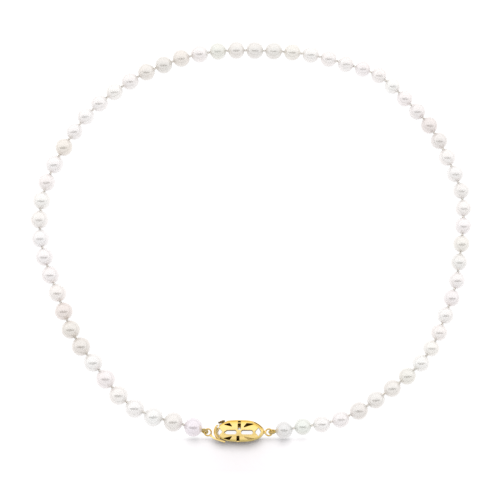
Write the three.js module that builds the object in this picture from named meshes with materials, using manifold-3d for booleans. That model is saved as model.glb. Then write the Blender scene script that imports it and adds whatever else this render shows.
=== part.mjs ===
// Knotted single-strand pearl necklace with a pierced gold box clasp, lying closed on a table.
// Millimetres, +Z up, the table is z = 0. The loop lies in XY with the clasp at its front (-Y) end.
import * as THREE from 'three';
import Module from 'manifold-3d';

// ---------- driving dimensions ----------
const ROUND = 8;              // facets round a pearl
const KNOT_R = 0.5;           // radius of the silk knot between two pearls
const KNOT_CLEAR = 0.3;       // clearance from a knot to the pearl that swings on it
// pearls in order round the loop, from the one left of the clasp to the one right of it:
// [x, y, half length along the drill hole, radius across it]; each one rests on the table
const PEARLS = [
  [-18.81, -60.19, 3.09, 3.09], [-25.45, -58.51, 3.13, 3.23], [-32.07, -56.82, 3.11, 3.21], [-38.36, -54.03, 3.15, 3.17],
  [-43.86, -49.75, 3.17, 3.15], [-48.35, -44.31, 3.23, 3.20], [-52.70, -38.83, 3.12, 3.12], [-56.98, -33.43, 3.14, 3.15],
  [-60.71, -27.66, 3.10, 3.12], [-63.35, -21.40, 3.05, 3.03], [-65.75, -15.03, 3.09, 3.03], [-68.46, -8.78, 3.04, 2.98],
  [-70.80, -2.47, 3.03, 2.97], [-72.46, 4.06, 3.03, 2.97], [-73.11, 10.82, 3.09, 3.01], [-72.66, 17.67, 3.09, 2.97],
  [-71.23, 24.36, 3.05, 2.88], [-68.78, 30.88, 3.18, 2.98], [-65.70, 37.19, 3.13, 2.93], [-62.27, 43.12, 2.98, 2.78],
  [-58.46, 48.74, 3.06, 2.85], [-53.73, 53.68, 3.04, 2.84], [-48.50, 58.01, 3.03, 2.85], [-42.99, 62.00, 3.05, 2.93],
  [-37.22, 65.54, 3.05, 2.99], [-31.05, 68.27, 3.04, 3.00], [-24.80, 70.80, 3.05, 3.00], [-18.22, 72.49, 3.09, 3.04],
  [-11.58, 73.54, 2.98, 2.97], [-4.96, 73.93, 3.01, 3.01], [1.75, 73.86, 3.06, 2.99], [8.56, 73.65, 3.06, 2.95],
  [15.31, 73.19, 3.01, 2.88], [21.96, 72.30, 2.99, 2.86], [28.39, 70.72, 2.92, 2.81], [34.52, 68.70, 2.85, 2.78],
  [40.58, 66.85, 2.82, 2.76], [46.35, 64.34, 2.80, 2.75], [51.10, 60.28, 2.79, 2.73], [55.28, 55.51, 2.88, 2.79],
  [59.55, 50.59, 2.95, 2.83], [63.67, 45.40, 2.98, 2.84], [66.90, 39.60, 2.95, 2.82], [69.51, 33.48, 3.00, 2.88],
  [72.03, 27.40, 2.90, 2.81], [73.87, 21.28, 2.83, 2.76], [74.33, 14.96, 2.83, 2.75], [73.95, 8.61, 2.85, 2.76],
  [73.06, 2.20, 2.92, 2.78], [71.97, -4.22, 2.88, 2.70], [70.93, -10.64, 2.88, 2.71], [68.86, -16.78, 2.87, 2.73],
  [66.42, -22.74, 2.86, 2.77], [64.08, -28.58, 2.77, 2.74], [61.19, -33.97, 2.71, 2.72], [57.52, -38.98, 2.86, 2.84],
  [52.77, -43.34, 2.91, 2.79], [47.56, -47.41, 2.98, 2.77], [42.03, -51.25, 3.00, 2.77], [36.24, -54.85, 3.08, 2.86],
  [30.13, -57.66, 2.91, 2.74], [23.80, -59.18, 2.86, 2.74], [17.50, -60.01, 2.81, 2.75], [11.27, -61.11, 2.87, 2.84],
];
const ROOT_FIRST = 32;        // the back pair, pearls 32 and 33, carries both halves of the strand
const SINGLES_LEFT = 9;       // pearls 1 to 9 and 56 to 64 are single links, the rest are pairs
const SINGLES_RIGHT = 56;

const CLASP = [-3.48, -61.89];  // centre of the clasp in plan
const CLASP_Z = 2.7;            // height of its mid plane
const SHELL_WALL = 0.5;
const RIM_HALF = 0.45;          // half height of the rim band between the two shells
const SHELL_START = 0.75;       // the shells start this far from the mid plane
// plan outline of the clasp body, from its centre, anticlockwise from the right tip
const OUTLINE = [
  [8.40, 0.05], [8.05, 1.05], [7.20, 2.05], [6.00, 2.95], [4.45, 3.60], [2.50, 3.95], [-0.50, 4.05], [-3.30, 3.90],
  [-5.10, 3.50], [-6.40, 2.80], [-7.20, 1.95], [-7.65, 0.95], [-7.75, 0.00], [-7.50, -0.95], [-6.90, -1.70], [-5.60, -2.45],
  [-3.30, -3.00], [-0.50, -3.18], [2.50, -3.12], [4.70, -2.72], [6.60, -2.00], [7.70, -1.00],
];
const MID = [0.0, 0.40];        // the outline shrinks towards this point as the shells dome over
// dome sections: [share of the outline, height above the mid plane]
const DOME = [[1.0, 0.0], [1.0, 0.55], [0.965, 1.25], [0.86, 2.0], [0.66, 2.5], [0.40, 2.7]];
const DOME_IN = [[1.0, -0.2], [1.0, 0.5], [0.955, 1.05], [0.83, 1.65], [0.62, 2.05], [0.38, 2.2]];
const INNER = [0.93, 0.86];     // inner outline as a share of the outer one, along X and along Y

const RING_X = [-10.47, 9.72];  // centres of the tongue's ring and of the body's ring
const RING_R = 1.1, RING_WIRE = 0.25;
const GIMP_R = 0.8, GIMP_WIRE = 0.34;   // the gimp-covered silk loop round each ring

const LEAF = 0.3;               // thickness of the tongue's spring strip
const LEAF_W = 2.6;             // its width, across the table's normal
const ARM_LOW = -1.06, ARM_HIGH = 1.55, BEND_X = 4.6;
const MOUTH_H = 1.75;           // half height of the mouth and of the tab's notch

const wasm = await Module();
wasm.setup();

// ---------- materials ----------
const pearlMat = () => new THREE.MeshStandardMaterial({ color: 0xf3efec, roughness: 0.25, metalness: 0.0 });
const goldMat = () => new THREE.MeshStandardMaterial({ color: 0xe6b84a, roughness: 0.22, metalness: 1.0 });
const gimpMat = () => new THREE.MeshStandardMaterial({ color: 0xd9b65a, roughness: 0.35, metalness: 1.0 });

const object = new THREE.Group();
const strand = new THREE.Group();
const clasp = new THREE.Group();
clasp.position.set(CLASP[0], CLASP[1], CLASP_Z);
object.add(strand, clasp);

function add(parent, name, geometry, material) {
  const mesh = new THREE.Mesh(geometry, material);
  mesh.name = name;
  parent.add(mesh);
  return mesh;
}

// ---------- helpers ----------
function fromArrays(verts, tris) {
  const g = new THREE.BufferGeometry();
  g.setAttribute('position', new THREE.BufferAttribute(new Float32Array(verts), 3));
  g.setIndex(tris);
  return g;
}

function toSolid(g) {
  // merge equal points of a three.js geometry and hand it over for cutting
  const p = g.attributes.position, key = new Map(), verts = [], map = [];
  for (let i = 0; i < p.count; i++) {
    const k = [p.getX(i), p.getY(i), p.getZ(i)].map((v) => v.toFixed(5)).join(',');
    if (!key.has(k)) { key.set(k, verts.length / 3); verts.push(p.getX(i), p.getY(i), p.getZ(i)); }
    map.push(key.get(k));
  }
  const idx = g.index ? Array.from(g.index.array) : Array.from({ length: p.count }, (_, i) => i);
  const tris = [];
  for (let i = 0; i < idx.length; i += 3) {
    const [a, b, c] = [map[idx[i]], map[idx[i + 1]], map[idx[i + 2]]];
    if (a !== b && b !== c && a !== c) tris.push(a, b, c);
  }
  return new wasm.Manifold(new wasm.Mesh({
    numProp: 3, vertProperties: new Float32Array(verts), triVerts: new Uint32Array(tris),
  }));
}

function fromSolid(solid) {
  const m = solid.getMesh();
  const verts = [];
  for (let i = 0; i < m.vertProperties.length; i += m.numProp) {
    verts.push(m.vertProperties[i], m.vertProperties[i + 1], m.vertProperties[i + 2]);
  }
  return fromArrays(verts, Array.from(m.triVerts));
}

function prism(points, z0, z1) {
  const shape = new THREE.Shape(points.map(([x, y]) => new THREE.Vector2(x, y)));
  const g = new THREE.ExtrudeGeometry(shape, { depth: z1 - z0, bevelEnabled: false, curveSegments: 6 });
  g.translate(0, 0, z0);
  return g;
}

function block(x0, x1, y0, y1, z0, z1) {
  return prism([[x0, y0], [x1, y0], [x1, y1], [x0, y1]], z0, z1);
}

// a closed dome over a plan outline: rings at shares of the outline, flat at both ends
function dome(outline, sections, sign) {
  const n = outline.length, verts = [], tris = [];
  for (const [share, h] of sections) {
    for (const [x, y] of outline) {
      verts.push(MID[0] + (x - MID[0]) * share, MID[1] + (y - MID[1]) * share, sign * h);
    }
  }
  const tri = (a, b, c) => (sign > 0 ? tris.push(a, b, c) : tris.push(a, c, b));
  for (let k = 0; k + 1 < sections.length; k++) {
    for (let i = 0; i < n; i++) {
      const j = (i + 1) % n, a = k * n + i, b = k * n + j, c = a + n, d = b + n;
      tri(a, b, d); tri(a, d, c);
    }
  }
  const low = verts.length / 3; verts.push(MID[0], MID[1], sign * sections[0][1]);
  const high = low + 1; verts.push(MID[0], MID[1], sign * sections[sections.length - 1][1]);
  for (let i = 0; i < n; i++) {
    const j = (i + 1) % n, t = (sections.length - 1) * n;
    tri(low, j, i); tri(high, t + i, t + j);
  }
  return fromArrays(verts, tris);
}

// a strip of even thickness along a plan path, standing on edge
function strip(path, thick, width) {
  const left = [], right = [];
  for (let i = 0; i < path.length; i++) {
    const a = path[Math.max(0, i - 1)], b = path[i], c = path[Math.min(path.length - 1, i + 1)];
    const u = new THREE.Vector2(b[0] - a[0], b[1] - a[1]), v = new THREE.Vector2(c[0] - b[0], c[1] - b[1]);
    if (u.length() < 1e-9) u.copy(v);
    if (v.length() < 1e-9) v.copy(u);
    u.normalize(); v.normalize();
    const m = u.clone().add(v).normalize();
    const k = thick / 2 / Math.max(0.5, m.dot(u));
    left.push([b[0] - m.y * k, b[1] + m.x * k]);
    right.push([b[0] + m.y * k, b[1] - m.x * k]);
  }
  return prism([...right, ...left.reverse()], -width / 2, width / 2);
}

function torus(R, r, flat) {
  const g = new THREE.TorusGeometry(R, r, 6, 14);
  if (!flat) g.rotateX(Math.PI / 2);   // a loop that stands upright in the XZ plane
  return g;
}

// ---------- the strand ----------
const centres = PEARLS.map(([x, y, , r]) => new THREE.Vector3(x, y, r));
const route = new THREE.CatmullRomCurve3(centres, false, 'catmullrom', 0.5);
const last = PEARLS.length - 1;
const pitch = (i) => centres[i].distanceTo(centres[i + 1]);

// the point of the strand at a distance u along it from pearl i, and the frame there
function strandFrame(i, u) {
  let t;
  if (u >= 0) t = i + (i < last ? u / pitch(i) : u / pitch(last - 1));
  else t = i + (i > 0 ? u / pitch(i - 1) : u / pitch(0));
  const inside = Math.min(last, Math.max(0, t));
  const p = route.getPoint(inside / last), T = route.getTangent(inside / last);
  if (t !== inside) p.addScaledVector(T, (t - inside) * (t < 0 ? pitch(0) : pitch(last - 1)));
  return { p, T };
}

// pearls i..j with a knot after the last one, or before the first one, and between them
function link(first, lastOne, knotAfter, knotBefore) {
  const profile = [];     // [pearl index, distance along the strand from it, radius]
  const arc = (i, from, to) => {
    const [, , a, r] = PEARLS[i];
    for (let deg = from; deg <= to + 1e-6; deg += 30) {
      const q = THREE.MathUtils.degToRad(deg);
      profile.push([i, -a * Math.cos(q), r * Math.sin(q)]);
    }
  };
  const neck = (i, side) => {
    // where the pearl's surface has the knot's radius
    const [, , a, r] = PEARLS[i];
    profile.push([i, side * a * Math.sqrt(1 - (KNOT_R / r) ** 2), KNOT_R]);
  };
  const gapAfter = (i) => pitch(i) - PEARLS[i][2] - PEARLS[i + 1][2];
  if (knotBefore) {
    const u = -PEARLS[first][2] - (gapAfter(first - 1) - KNOT_CLEAR);
    profile.push([first, u, 0], [first, u, KNOT_R]);
    neck(first, -1);
  } else profile.push([first, -PEARLS[first][2], 0]);
  for (let i = first; i <= lastOne; i++) {
    arc(i, 30, 150);
    if (i < lastOne) { neck(i, 1); neck(i + 1, -1); }
  }
  if (knotAfter) {
    neck(lastOne, 1);
    const u = PEARLS[lastOne][2] + (gapAfter(lastOne) - KNOT_CLEAR);
    profile.push([lastOne, u, KNOT_R], [lastOne, u, 0]);
  } else profile.push([lastOne, PEARLS[lastOne][2], 0]);

  // turn the profile on a lathe with one unit of height per station, then lay it along the strand
  const turned = new THREE.LatheGeometry(profile.map(([, , r], k) => new THREE.Vector2(r, k)), ROUND);
  const pos = turned.attributes.position;
  for (let v = 0; v < pos.count; v++) {
    const k = Math.round(pos.getY(v)), [i, u] = profile[k];
    const { p, T } = strandFrame(i, u);
    const side = new THREE.Vector3(0, 0, 1).cross(T).normalize();
    const up = new THREE.Vector3().crossVectors(T, side);
    const q = p.clone().addScaledVector(side, pos.getX(v)).addScaledVector(up, pos.getZ(v));
    pos.setXYZ(v, q.x, q.y, q.z);
  }
  return orient(turned);
}

// merge the seam and make sure that the faces point out
function orient(g) {
  let solid = toSolid(g);
  if (solid.volume() < 0 || solid.isEmpty()) {
    const idx = Array.from(g.index.array);
    for (let i = 0; i < idx.length; i += 3) [idx[i + 1], idx[i + 2]] = [idx[i + 2], idx[i + 1]];
    const h = g.clone(); h.setIndex(idx);
    solid = toSolid(h);
  }
  return fromSolid(solid);
}

const two = (n) => String(n).padStart(2, '0');
add(strand, 'back_pearls_32_33', link(ROOT_FIRST - 1, ROOT_FIRST, true, true), pearlMat());
for (let n = ROOT_FIRST - 1; n > SINGLES_LEFT; n -= 2) {
  add(strand, `pearls_${two(n - 1)}_${two(n)}`, link(n - 2, n - 1, false, true), pearlMat());
}
for (let n = SINGLES_LEFT; n >= 1; n--) {
  add(strand, `pearl_${two(n)}`, link(n - 1, n - 1, false, n > 1), pearlMat());
}
for (let n = ROOT_FIRST + 2; n < SINGLES_RIGHT; n += 2) {
  add(strand, `pearls_${two(n)}_${two(n + 1)}`, link(n - 1, n, true, false), pearlMat());
}
for (let n = SINGLES_RIGHT; n <= PEARLS.length; n++) {
  add(strand, `pearl_${two(n)}`, link(n - 1, n - 1, n < PEARLS.length, false), pearlMat());
}

// ---------- the silk loops, covered in gimp wire ----------
// each one stands upright round its ring's wire, on the side that faces the pearl
function gimp(name, ringX, pearl) {
  const dx = pearl[0] - CLASP[0] - ringX, dy = pearl[1] - CLASP[1], d = Math.hypot(dx, dy);
  const g = torus(GIMP_R, GIMP_WIRE, false);
  g.rotateZ(Math.atan2(dy, dx));
  g.translate(ringX + RING_R * dx / d, RING_R * dy / d, 0);
  add(clasp, name, g, gimpMat());
}
gimp('left_gimp_loop', RING_X[0], PEARLS[0]);
gimp('right_gimp_loop', RING_X[1], PEARLS[last]);

// ---------- the tongue ----------
const ring = (name, x) => add(clasp, name, torus(RING_R, RING_WIRE, true).translate(x, 0, 0), goldMat());
ring('tongue_ring', RING_X[0]);
ring('clasp_end_ring', RING_X[1]);

// the solder strap runs from the ring round the lower left corner of the body
add(clasp, 'tongue_strap', strip(
  [[-9.28, -1.26], [-8.72, -1.86], [-7.95, -2.42], [-6.95, -2.86], [-5.85, -3.12], [-4.95, -3.3]], 0.42, 1.8), goldMat());

// end cover and lower arm of the tongue are one folded strip, ending in the bend
add(clasp, 'tongue_lower_leaf', strip(
  [[-7.95, 1.75], [-8.28, 0.9], [-8.38, 0.0], [-8.22, -0.65], [-7.75, ARM_LOW], [-6.0, ARM_LOW], [BEND_X - 0.6, ARM_LOW],
    [BEND_X + 0.25, ARM_LOW + 0.3], [BEND_X + 0.55, 0.1], [BEND_X + 0.45, 0.75]], LEAF, LEAF_W), goldMat());

// upper arm, free to flex about the bend, with its riser up through the notch
add(clasp, 'tongue_spring_leaf', strip(
  [[BEND_X + 0.3, 1.16], [BEND_X - 0.35, ARM_HIGH], [-4.3, ARM_HIGH], [-4.95, 1.8], [-5.5, 2.5], [-6.7, 2.38]], LEAF, LEAF_W), goldMat());

// serrated thumb tab on the end of the spring leaf
add(clasp, 'thumb_tab', prism([
  [-6.95, 2.85], [-5.75, 2.98], [-4.85, 3.55], [-4.9, 4.0], [-5.15, 3.85], [-5.3, 4.05], [-5.6, 3.85], [-5.75, 3.95], [-6.05, 3.62],
  [-6.3, 3.72], [-6.55, 3.4], [-6.85, 3.5], [-7.05, 3.2]], -LEAF_W / 2, LEAF_W / 2), goldMat());

// ---------- the clasp body ----------
const innerOutline = OUTLINE.map(([x, y]) => [x * INNER[0], MID[1] + (y - MID[1]) * INNER[1]]);
const mouth = () => [
  toSolid(block(-20, -5.2, -1.75, 2.3, -MOUTH_H, MOUTH_H)),
  toSolid(block(-20, -4.1, 0.95, 12, -MOUTH_H, MOUTH_H)),
];

// pierced pattern, the same through both shells
const stadium = (x0, x1, yc, r) => {
  const pts = [];
  for (let k = 0; k <= 4; k++) { const q = -Math.PI / 2 + k * Math.PI / 4; pts.push([x1 - r + r * Math.cos(q), yc + r * Math.sin(q)]); }
  for (let k = 0; k <= 4; k++) { const q = Math.PI / 2 + k * Math.PI / 4; pts.push([x0 + r + r * Math.cos(q), yc + r * Math.sin(q)]); }
  return pts;
};
const PIERCINGS = [
  stadium(-4.55, -0.95, -0.05, 0.63), stadium(0.5, 4.4, -0.05, 0.66),
  [[-0.55, 0.85], [0.42, 0.85], [0.42, 2.7], [-0.55, 2.7]],
  [[-0.75, -2.65], [0.12, -2.65], [0.12, -1.2], [-0.75, -1.2]],
  [[-5.0, 2.5], [-2.45, 1.95], [-3.25, 2.95]],
  [[1.45, 1.8], [4.6, 2.75], [2.5, 2.95]],
  [[-4.95, -2.02], [-3.3, -2.42], [-2.5, -1.42]],
  [[1.5, -1.6], [2.9, -2.48], [4.65, -2.16]],
  [[5.3, 0.05], [6.25, -1.15], [7.05, 0.1], [6.35, 1.3]],
  [[-7.15, 0.2], [-6.9, -0.85], [-5.65, 0.15], [-6.7, 1.3]],
];

function shell(sign) {
  let solid = toSolid(dome(OUTLINE, DOME, sign)).subtract(toSolid(dome(innerOutline, DOME_IN, sign)));
  const away = sign > 0 ? block(-20, 20, -20, 20, -5, SHELL_START) : block(-20, 20, -20, 20, -SHELL_START, 5);
  solid = solid.subtract(toSolid(away));
  for (const m of mouth()) solid = solid.subtract(m);
  for (const p of PIERCINGS) {
    solid = solid.subtract(toSolid(sign > 0 ? prism(p, 0.4, 5) : prism(p, -5, -0.4)));
  }
  return fromSolid(solid);
}
add(clasp, 'clasp_upper_shell', shell(1), goldMat());
add(clasp, 'clasp_lower_shell', shell(-1), goldMat());

// the rim band joins the two shells and is open at the mouth
let rim = toSolid(prism(OUTLINE, -RIM_HALF, RIM_HALF)).subtract(toSolid(prism(innerOutline, -1, 1)));
for (const m of mouth()) rim = rim.subtract(m);
add(clasp, 'clasp_rim', fromSolid(rim), goldMat());

// ---------- origin: middle of the whole necklace's box, on the table ----------
const whole = new THREE.Box3().setFromObject(object);
object.position.set(-(whole.min.x + whole.max.x) / 2, -(whole.min.y + whole.max.y) / 2, 0);

export default object;
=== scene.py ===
import math
import bpy
import bmesh
import numpy as np
from mathutils import Matrix, Vector


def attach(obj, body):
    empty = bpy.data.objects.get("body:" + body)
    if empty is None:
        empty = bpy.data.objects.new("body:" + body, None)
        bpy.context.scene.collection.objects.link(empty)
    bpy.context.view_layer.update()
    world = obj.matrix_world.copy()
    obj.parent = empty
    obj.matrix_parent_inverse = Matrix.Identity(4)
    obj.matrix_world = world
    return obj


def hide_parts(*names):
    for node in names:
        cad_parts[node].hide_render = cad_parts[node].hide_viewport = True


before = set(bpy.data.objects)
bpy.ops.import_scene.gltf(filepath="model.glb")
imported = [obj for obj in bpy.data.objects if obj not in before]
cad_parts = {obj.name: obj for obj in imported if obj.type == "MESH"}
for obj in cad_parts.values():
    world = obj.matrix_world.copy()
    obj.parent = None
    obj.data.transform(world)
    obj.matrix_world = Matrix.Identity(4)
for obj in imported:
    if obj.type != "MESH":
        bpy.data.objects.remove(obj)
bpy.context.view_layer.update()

MM = 0.001
SHIFT = Vector((-0.480137, -5.771609, 0.0))       # strand drawing -> frame, mm
CLASP = Vector((-3.48, -61.89, 2.7)) + SHIFT      # centre of the clasp, mm

# pearls in order from the one left of the clasp: [x, y, half length along the hole, radius across it]
PEARLS = [
    [-18.81, -60.19, 3.09, 3.09], [-25.45, -58.51, 3.13, 3.23], [-32.07, -56.82, 3.11, 3.21], [-38.36, -54.03, 3.15, 3.17],
    [-43.86, -49.75, 3.17, 3.15], [-48.35, -44.31, 3.23, 3.20], [-52.70, -38.83, 3.12, 3.12], [-56.98, -33.43, 3.14, 3.15],
    [-60.71, -27.66, 3.10, 3.12], [-63.35, -21.40, 3.05, 3.03], [-65.75, -15.03, 3.09, 3.03], [-68.46, -8.78, 3.04, 2.98],
    [-70.80, -2.47, 3.03, 2.97], [-72.46, 4.06, 3.03, 2.97], [-73.11, 10.82, 3.09, 3.01], [-72.66, 17.67, 3.09, 2.97],
    [-71.23, 24.36, 3.05, 2.88], [-68.78, 30.88, 3.18, 2.98], [-65.70, 37.19, 3.13, 2.93], [-62.27, 43.12, 2.98, 2.78],
    [-58.46, 48.74, 3.06, 2.85], [-53.73, 53.68, 3.04, 2.84], [-48.50, 58.01, 3.03, 2.85], [-42.99, 62.00, 3.05, 2.93],
    [-37.22, 65.54, 3.05, 2.99], [-31.05, 68.27, 3.04, 3.00], [-24.80, 70.80, 3.05, 3.00], [-18.22, 72.49, 3.09, 3.04],
    [-11.58, 73.54, 2.98, 2.97], [-4.96, 73.93, 3.01, 3.01], [1.75, 73.86, 3.06, 2.99], [8.56, 73.65, 3.06, 2.95],
    [15.31, 73.19, 3.01, 2.88], [21.96, 72.30, 2.99, 2.86], [28.39, 70.72, 2.92, 2.81], [34.52, 68.70, 2.85, 2.78],
    [40.58, 66.85, 2.82, 2.76], [46.35, 64.34, 2.80, 2.75], [51.10, 60.28, 2.79, 2.73], [55.28, 55.51, 2.88, 2.79],
    [59.55, 50.59, 2.95, 2.83], [63.67, 45.40, 2.98, 2.84], [66.90, 39.60, 2.95, 2.82], [69.51, 33.48, 3.00, 2.88],
    [72.03, 27.40, 2.90, 2.81], [73.87, 21.28, 2.83, 2.76], [74.33, 14.96, 2.83, 2.75], [73.95, 8.61, 2.85, 2.76],
    [73.06, 2.20, 2.92, 2.78], [71.97, -4.22, 2.88, 2.70], [70.93, -10.64, 2.88, 2.71], [68.86, -16.78, 2.87, 2.73],
    [66.42, -22.74, 2.86, 2.77], [64.08, -28.58, 2.77, 2.74], [61.19, -33.97, 2.71, 2.72], [57.52, -38.98, 2.86, 2.84],
    [52.77, -43.34, 2.91, 2.79], [47.56, -47.41, 2.98, 2.77], [42.03, -51.25, 3.00, 2.77], [36.24, -54.85, 3.08, 2.86],
    [30.13, -57.66, 2.91, 2.74], [23.80, -59.18, 2.86, 2.74], [17.50, -60.01, 2.81, 2.75], [11.27, -61.11, 2.87, 2.84],
]
N = len(PEARLS)
BORE = 0.27          # radius of the drill hole, mm
THREAD = 0.17        # radius of the silk, mm

# ---------------------------------------------------------------- camera and stage
scene = bpy.context.scene
scene.view_settings.view_transform = "Standard"
scene.view_settings.look = "None"
TARGET = Vector((-0.480, -5.772, 2.9)) * MM
ELEV = math.radians(77.4)
DIST = 0.3405
cam_data = bpy.data.cameras.new("view")
cam_data.lens = 987.0 / 500.0 * 36.0
cam_data.sensor_width = 36.0
cam_data.clip_start = 0.005
cam_data.clip_end = 50.0
cam = bpy.data.objects.new("view", cam_data)
scene.collection.objects.link(cam)
back = Vector((0.0, -math.cos(ELEV), math.sin(ELEV)))
cam.location = TARGET + back * DIST
cam.rotation_euler = (math.radians(90.0) - ELEV, 0.0, 0.0)
scene.camera = cam


def link(obj):
    scene.collection.objects.link(obj)
    return obj


def mesh_from(name, verts, faces, scale=1.0, smooth=True):
    me = bpy.data.meshes.new(name)
    me.from_pydata([tuple(float(c) * scale for c in v) for v in verts], [], [tuple(int(i) for i in f) for f in faces])
    me.validate()
    if smooth:
        me.polygons.foreach_set("use_smooth", [True] * len(me.polygons))
    me.update()
    return me


# ---------------------------------------------------------------- materials
def new_mat(name):
    m = bpy.data.materials.new(name)
    m.use_nodes = True
    nt = m.node_tree
    for n in list(nt.nodes):
        nt.nodes.remove(n)
    out = nt.nodes.new("ShaderNodeOutputMaterial")
    b = nt.nodes.new("ShaderNodeBsdfPrincipled")
    nt.links.new(b.outputs[0], out.inputs[0])
    return m, nt, b


def node(nt, kind, **kw):
    n = nt.nodes.new(kind)
    for k, v in kw.items():
        if k.startswith("i_"):
            key = k[2:]
            n.inputs[int(key) if key.isdigit() else key.replace("_", " ")].default_value = v
        else:
            setattr(n, k, v)
    return n


def ramp(nt, fac, stops, mode="LINEAR"):
    r = nt.nodes.new("ShaderNodeValToRGB")
    r.color_ramp.interpolation = mode
    while len(r.color_ramp.elements) < len(stops):
        r.color_ramp.elements.new(0.5)
    for e, (p, c) in zip(r.color_ramp.elements, stops):
        e.position = p
        e.color = (*c, 1.0) if len(c) == 3 else c
    nt.links.new(fac, r.inputs[0])
    return r.outputs[0]


def mix_col(nt, fac, a, b, blend="MIX"):
    m = nt.nodes.new("ShaderNodeMix")
    m.data_type = "RGBA"
    m.blend_type = blend
    for sock, v in ((m.inputs[0], fac), (m.inputs[6], a), (m.inputs[7], b)):
        if hasattr(v, "is_output"):
            nt.links.new(v, sock)
        elif isinstance(v, (int, float)):
            sock.default_value = v
        else:
            sock.default_value = (*v, 1.0)
    return m.outputs[2]


def math_node(nt, op, a, b=None, c=None, clamp=False):
    m = nt.nodes.new("ShaderNodeMath")
    m.operation = op
    m.use_clamp = clamp
    for i, v in enumerate((a, b, c)):
        if v is None:
            continue
        if hasattr(v, "is_output"):
            nt.links.new(v, m.inputs[i])
        else:
            m.inputs[i].default_value = v
    return m.outputs[0]


def map_range(nt, v, a, b, c, d):
    m = nt.nodes.new("ShaderNodeMapRange")
    nt.links.new(v, m.inputs[0])
    for i, x in enumerate((a, b, c, d)):
        m.inputs[i + 1].default_value = x
    return m.outputs[0]


def noise_tex(nt, vec, scale, detail=2.0, rough=0.5, w=None, dist=0.0):
    n = nt.nodes.new("ShaderNodeTexNoise")
    if w is not None:
        n.noise_dimensions = "4D"
        nt.links.new(w, n.inputs["W"])
    nt.links.new(vec, n.inputs["Vector"])
    n.inputs["Scale"].default_value = scale
    n.inputs["Detail"].default_value = detail
    n.inputs["Roughness"].default_value = rough
    n.inputs["Distortion"].default_value = dist
    return n.outputs["Fac"]


def nacre_material():
    m, nt, b = new_mat("nacre")
    tc = node(nt, "ShaderNodeTexCoord")
    obj = tc.outputs["Object"]
    tint = node(nt, "ShaderNodeAttribute", attribute_name="tint")
    seed = node(nt, "ShaderNodeAttribute", attribute_name="seed").outputs["Fac"]
    # body colour: the pearl's own tint, clouded by slow changes in the nacre
    cloud = noise_tex(nt, obj, 260.0, 3.0, 0.55, seed, 0.3)
    warm = mix_col(nt, map_range(nt, cloud, 0.36, 0.64, 0.0, 1.0), (0.985, 0.965, 0.955), (1.0, 1.0, 1.0))
    col = mix_col(nt, 1.0, tint.outputs["Color"], warm, "MULTIPLY")
    # faint growth bands round the drill hole
    sep = node(nt, "ShaderNodeSeparateXYZ")
    nt.links.new(obj, sep.inputs[0])
    wob = noise_tex(nt, obj, 420.0, 2.0, 0.5, seed)
    band = math_node(nt, "ADD", math_node(nt, "MULTIPLY", sep.outputs[0], 1500.0), math_node(nt, "MULTIPLY", wob, 3.2))
    band = math_node(nt, "SINE", math_node(nt, "MULTIPLY", band, 1.9))
    col = mix_col(nt, map_range(nt, band, -1.0, 1.0, 0.0, 0.05), col, (0.80, 0.76, 0.70))
    # tiny dull specks
    speck = noise_tex(nt, obj, 2600.0, 1.0, 0.4, seed)
    speck = map_range(nt, speck, 0.70, 0.76, 0.0, 0.30)
    col = mix_col(nt, speck, col, (0.60, 0.57, 0.52))
    nt.links.new(col, b.inputs["Base Color"])
    b.inputs["Metallic"].default_value = NACRE["metal"]
    rough = noise_tex(nt, obj, 700.0, 2.0, 0.5, seed)
    nt.links.new(map_range(nt, rough, 0.3, 0.7, NACRE["rough"] - 0.03, NACRE["rough"] + 0.05), b.inputs["Roughness"])
    b.inputs["IOR"].default_value = 1.6
    b.inputs["Coat Weight"].default_value = NACRE["coat"]
    b.inputs["Coat Roughness"].default_value = NACRE["coat_rough"]
    b.inputs["Coat IOR"].default_value = NACRE["coat_ior"]
    b.inputs["Subsurface Weight"].default_value = NACRE["sss"]
    b.inputs["Subsurface Radius"].default_value = (1.0, 0.86, 0.78)
    b.inputs["Subsurface Scale"].default_value = 0.0009
    b.inputs["Thin Film Thickness"].default_value = 120.0
    b.inputs["Thin Film IOR"].default_value = 1.45
    # suede-fine surface and slow waviness, which breaks up the reflections
    slow = noise_tex(nt, obj, 420.0, 1.0, 0.4, seed)
    fine = noise_tex(nt, obj, 5200.0, 2.0, 0.5, seed)
    h = math_node(nt, "ADD", math_node(nt, "MULTIPLY", slow, 0.45), math_node(nt, "MULTIPLY", fine, 0.012))
    h = math_node(nt, "ADD", h, math_node(nt, "MULTIPLY", band, 0.006))
    bump = node(nt, "ShaderNodeBump")
    bump.inputs["Strength"].default_value = 0.4
    bump.inputs["Distance"].default_value = 0.00003
    nt.links.new(h, bump.inputs["Height"])
    nt.links.new(bump.outputs[0], b.inputs["Normal"])
    nt.links.new(bump.outputs[0], b.inputs["Coat Normal"])
    return m


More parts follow.
